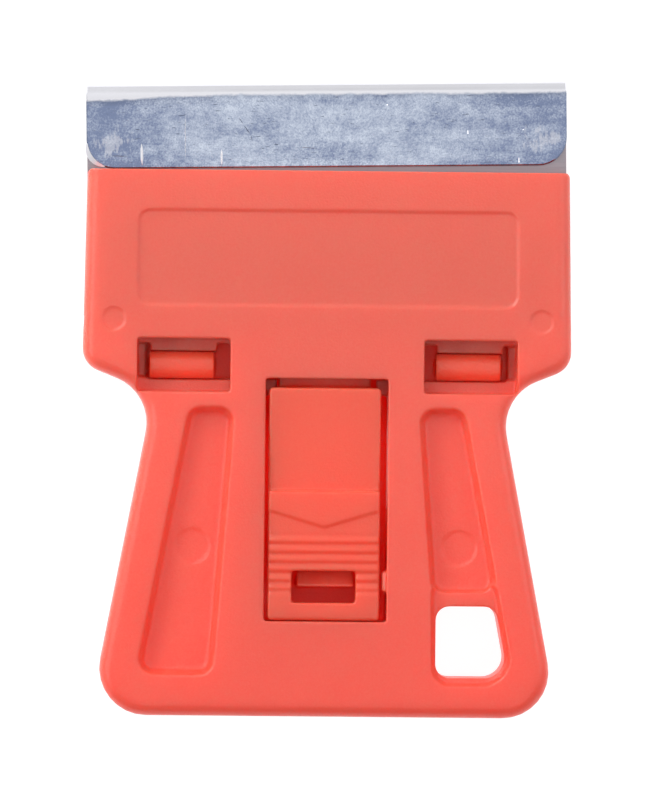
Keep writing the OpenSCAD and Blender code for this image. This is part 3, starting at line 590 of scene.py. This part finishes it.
class SCRAPER_OT_spine(bpy.types.Operator):
    """Makes the folded spine, with its cut edges broken"""

    bl_idname = "scraper.spine"
    bl_label = "Folded spine"

    def execute(self, context):
        shape = context.scene.scraper_shape
        piece = bpy.data.objects.new("folded_spine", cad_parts["blade_spine"].data.copy())
        context.collection.objects.link(piece)
        weld = piece.modifiers.new("weld", "WELD")
        weld.merge_threshold = WELD * MM
        edge = piece.modifiers.new("cut_edge", "BEVEL")
        edge.width = shape.cut_edge
        edge.segments = 1
        edge.use_clamp_overlap = False
        edge.limit_method = "ANGLE"
        edge.angle_limit = BROKEN_FROM
        final = evaluated_mesh(piece)
        piece.modifiers.clear()
        piece.data = final
        final.shade_smooth()
        final.set_sharp_from_angle(angle=SHARP_FROM)
        seat = spine_seat(shape).translation
        dressed(piece, bare_aluminium(context.scene.scraper_finish, shape, seat))
        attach(piece, "blade")
        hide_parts("blade_spine")
        return {"FINISHED"}


def add_spine_detail(context, name, points, faces, material):
    """Adds a detail of the spine, drawn in the spine's own frame, which moves with the blade."""
    mesh = bpy.data.meshes.new(name)
    mesh.from_pydata(points, [], faces)
    mesh.transform(spine_seat(context.scene.scraper_shape))
    piece = bpy.data.objects.new(name, mesh)
    context.collection.objects.link(piece)
    dressed(piece, material)
    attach(piece, "blade")


# Nicks in the spine's front flank: start, end and width, in millimetres from the middle of its foot
NICKS = (
    ((-15.0, 0.1), (-15.04, 2.2), 0.4),
    ((-8.56, 0.1), (-8.54, 1.65), 0.34),
    ((7.66, 5.1), (7.68, 5.5), 0.2),
    ((11.47, 2.5), (11.45, 2.95), 0.2),
    ((4.9, 4.95), (5.0, 5.05), 0.16),
    ((15.9, 2.85), (16.0, 2.95), 0.16),
    ((15.59, 0.12), (15.57, 0.7), 0.2),
    ((-11.5, 0.15), (-11.47, 4.9), 0.1),
)
# Scored lines in the same flank, drawn as low dark ridges
SCORES = (
    ((-7.16, 4.1), (-6.75, 3.5), 0.09),
    ((-6.77, 3.52), (-6.18, 2.65), 0.1),
    ((-6.19, 2.67), (-6.02, 2.1), 0.08),
    ((-17.6, 1.05), (-16.1, 1.0), 0.12),
    ((-2.36, 1.65), (-0.65, 1.5), 0.08),
)


class SCRAPER_OT_nicks(bpy.types.Operator):
    """Makes the nicks' burrs and the scored lines that stand up from the spine's front flank"""

    bl_idname = "scraper.nicks"
    bl_label = "Spine nicks"

    # Underside and sides of one burr, by the numbers of its corners
    BURR_FACES = ((0, 3, 2, 1), (0, 1, 4), (1, 5, 4), (1, 2, 5), (2, 3, 5), (3, 4, 5), (3, 0, 4))
    # Depth of a burr's root in the sheet, height of its ridge, and the share that slopes at each end
    ROOT_DEPTH, RIDGE, END_SLOPE = 0.02 * MM, 0.04 * MM, 0.1

    def execute(self, context):
        finish = context.scene.scraper_finish
        self.add_marks(context, "spine_nicks", NICKS, burnished_aluminium(finish))
        self.add_marks(context, "spine_scores", SCORES, oxidised_aluminium(finish))
        return {"FINISHED"}

    def add_marks(self, context, name, marks, material):
        """Makes one piece of all the marks in a list."""
        points, faces = [], []
        for start, end, width in marks:
            faces += [[len(points) + i for i in face] for face in self.BURR_FACES]
            points += self.burr(start, end, width, context.scene.scraper_shape)
        add_spine_detail(context, name, points, faces, material)

    def burr(self, start, end, width, shape):
        """Corners of one low ridge, which is widest in its middle and rooted in the sheet."""
        root = Vector((0, 0, shape.flank - self.ROOT_DEPTH))
        rise = Vector((0, 0, self.RIDGE))
        a, b = (Vector((*p, 0)) * MM + root for p in (start, end))
        way = b - a
        side = Vector((-way.y, way.x, 0)).normalized() * width * MM / 2
        middle = (a + b) / 2
        slope = way * self.END_SLOPE
        return [a, middle - side, b, middle + side, a + slope + rise, b - slope + rise]


class SCRAPER_OT_bent_edge(bpy.types.Operator):
    """Makes the bright cut edge that is bent out at the spine's lower left corner"""

    bl_idname = "scraper.bent_edge"
    bl_label = "Bent edge"

    # Where the bent edge starts round the corner, how far it goes, and in how many steps
    START, SWEEP, STEPS = math.radians(186), math.radians(62), 24
    # How far its root reaches into the sheet and past the sheet's edge
    ROOT_IN, ROOT_OUT = 0.08 * MM, 0.02 * MM
    # Depth of its top under the flank, its thickness, and how far its middle is bent down
    SINK, THICKNESS, DROP = 0.02 * MM, 0.2 * MM, 0.1 * MM

    def execute(self, context):
        shape = context.scene.scraper_shape
        points, faces = [], []
        for k in range(self.STEPS + 1):
            share = k / self.STEPS
            points += self.section(self.START + self.SWEEP * share, math.sin(math.pi * share), shape)
            if k:
                old, new = len(points) - 8, len(points) - 4
                faces += [[old + i, new + i, new + (i + 1) % 4, old + (i + 1) % 4] for i in range(4)]
        faces += [[0, 1, 2, 3], [len(points) - 1 - i for i in range(4)]]
        bright = bpy.data.materials.get("burnished_aluminium")
        add_spine_detail(context, "spine_bent_edge", points, faces,
                         bright or burnished_aluminium(context.scene.scraper_finish))
        return {"FINISHED"}

    def section(self, angle, swell, shape):
        """Corners of the bent edge at one angle round the corner, rooted in the sheet's edge."""
        way = Vector((math.cos(angle), math.sin(angle), 0))
        centre = Vector((shape.spine_corner - shape.spine_width / 2, shape.spine_corner, 0))
        inner = centre + way * (shape.spine_corner - self.ROOT_IN)
        outer = centre + way * (shape.spine_corner + self.ROOT_OUT + shape.bent_edge * swell)
        top = Vector((0, 0, shape.flank - self.SINK))
        low = top - Vector((0, 0, self.THICKNESS))
        drop = Vector((0, 0, self.DROP * swell))
        return [inner + low, outer + low - drop, outer + top - drop, inner + top]


# Soft boxes, each with its place and size in metres, and the stage's value for its power
SOFT_BOXES = (
    ("key_soft_box", (-0.26, 0.23, 0.2), 0.3, "key"),
    ("side_soft_box", (-0.3, -0.05, 0.2), 0.06, "side"),
    ("fill_soft_box", (0.3, 0.05, 0.24), 0.25, "fill"),
)
# Half the width of the light table, and its height, which leaves a hair's gap under the part
TABLE_HALF, TABLE_TOP = 0.6, -0.02 * MM
ACRYLIC_ROUGHNESS, ACRYLIC_IOR = 0.6, 1.49
# Slopes at which the walls give way to the ceiling, and at which the end wall begins and is full
CEILING_BEGINS, CEILING_FULL = 0.75, 0.98
END_WALL_BEGINS, END_WALL_FULL = 0.2, 0.8


def soft_box(name, place, target, size, power):
    """Square soft light that shines from one point towards another."""
    lamp = bpy.data.lights.new(name, "AREA")
    lamp.energy = power
    lamp.size = size
    holder = bpy.data.objects.new(name, lamp)
    bpy.context.collection.objects.link(holder)
    holder.location = place
    holder.rotation_euler = (Vector(target) - Vector(place)).to_track_quat("-Z", "Y").to_euler()


class SCRAPER_OT_stage(bpy.types.Operator):
    """Sets the light table, the lights and the camera"""

    bl_idname = "scraper.stage"
    bl_label = "Stage"

    def execute(self, context):
        stage = context.scene.scraper_stage
        context.scene.view_settings.view_transform = "Standard"
        self.set_floor(context, stage)
        self.set_room(context, stage)
        aim = Vector(stage.aim)
        for name, place, size, power in SOFT_BOXES:
            soft_box(name, place, aim, size, getattr(stage, power))
        self.set_camera(context, stage, aim)
        return {"FINISHED"}

    def set_floor(self, context, stage):
        """Wide table of opal acrylic under the part, lit from below."""
        mesh = bpy.data.meshes.new("light_table")
        corners = ((-1, -1), (1, -1), (1, 1), (-1, 1))
        mesh.from_pydata([(x * TABLE_HALF, y * TABLE_HALF, TABLE_TOP) for x, y in corners],
                         [], [(0, 1, 2, 3)])
        floor = bpy.data.objects.new("light_table", mesh)
        context.collection.objects.link(floor)
        material, tree, _ = new_material("opal_acrylic")
        opal = add(tree, "ShaderNodeBsdfPrincipled", None, {
            "Base Color": paint(stage.floor), "Roughness": ACRYLIC_ROUGHNESS, "IOR": ACRYLIC_IOR,
            "Emission Color": (1, 1, 1, 1), "Emission Strength": stage.glow})
        add(tree, "ShaderNodeOutputMaterial", None, {"Surface": opal})
        dressed(floor, material)

    def set_room(self, context, stage):
        """White room that lights the part from all round, most from its ceiling and its end wall."""
        world = bpy.data.worlds.new("white_room")
        world.use_nodes = True
        tree = world.node_tree
        tree.nodes.clear()
        way = add(tree, "ShaderNodeTexCoord")
        parts = add(tree, "ShaderNodeSeparateXYZ", None, {"Vector": way.outputs["Generated"]})
        height = add(tree, "ShaderNodeMapRange", {"interpolation_type": "SMOOTHSTEP"}, {
            "Value": parts.outputs["Z"], "From Min": CEILING_BEGINS, "From Max": CEILING_FULL,
            "To Min": stage.walls, "To Max": stage.sky})
        end = add(tree, "ShaderNodeMapRange", {"interpolation_type": "SMOOTHSTEP"}, {
            "Value": parts.outputs["Y"], "From Min": END_WALL_BEGINS, "From Max": END_WALL_FULL,
            "To Min": 0.0, "To Max": stage.end_wall})
        both = add(tree, "ShaderNodeMath", {"operation": "ADD"}, {0: height, 1: end})
        light = add(tree, "ShaderNodeBackground", None, {"Color": (1, 1, 1, 1), "Strength": both})
        add(tree, "ShaderNodeOutputWorld", None, {"Surface": light})
        context.scene.world = world

    def set_camera(self, context, stage, aim):
        """Camera over the front face, leaning out a little to the left."""
        lens = bpy.data.cameras.new("camera")
        lens.lens = stage.lens
        lens.sensor_width = SENSOR
        camera = bpy.data.objects.new("camera", lens)
        context.collection.objects.link(camera)
        distance = PICTURE_HEIGHT / stage.scale * MM * stage.lens / SENSOR
        back = Vector((-math.sin(stage.lean), 0, math.cos(stage.lean)))
        up = Vector((-math.sin(stage.roll), math.cos(stage.roll), 0))
        right = up.cross(back).normalized()
        up = back.cross(right)
        turn = Matrix((right, up, back)).transposed().to_4x4()
        camera.matrix_world = Matrix.Translation(aim + back * distance) @ turn
        context.scene.camera = camera


GROUPS = {
    "scraper_finish": ScraperFinish,
    "scraper_shape": ScraperShape,
    "scraper_stage": ScraperStage,
}
PIECES = (
    SCRAPER_OT_body,
    SCRAPER_OT_lever,
    SCRAPER_OT_blade,
    SCRAPER_OT_spine,
    SCRAPER_OT_nicks,
    SCRAPER_OT_bent_edge,
    SCRAPER_OT_stage,
)


class SCRAPER_PT_pieces(bpy.types.Panel):
    """Lists the scraper's pieces"""

    bl_idname = "SCRAPER_PT_pieces"
    bl_label = "Scraper"
    bl_space_type = "VIEW_3D"
    bl_region_type = "UI"
    bl_category = "Scraper"

    def draw(self, context):
        for operator in PIECES:
            self.layout.operator(operator.bl_idname)


def register():
    """Registers the classes, and gives each scene its values."""
    for kind in (*GROUPS.values(), *PIECES, SCRAPER_PT_pieces):
        bpy.utils.register_class(kind)
    for name, kind in GROUPS.items():
        setattr(bpy.types.Scene, name, bpy.props.PointerProperty(type=kind))


def unregister():
    """Takes back what register has done."""
    for name in GROUPS:
        delattr(bpy.types.Scene, name)
    for kind in (SCRAPER_PT_pieces, *reversed(PIECES), *reversed(GROUPS.values())):
        bpy.utils.unregister_class(kind)


def main():
    register()
    bpy.ops.scraper.body()
    bpy.ops.scraper.lever()
    bpy.ops.scraper.blade()
    bpy.ops.scraper.spine()
    bpy.ops.scraper.nicks()
    bpy.ops.scraper.bent_edge()
    bpy.ops.scraper.stage()


if __name__ == "__main__":
    main()
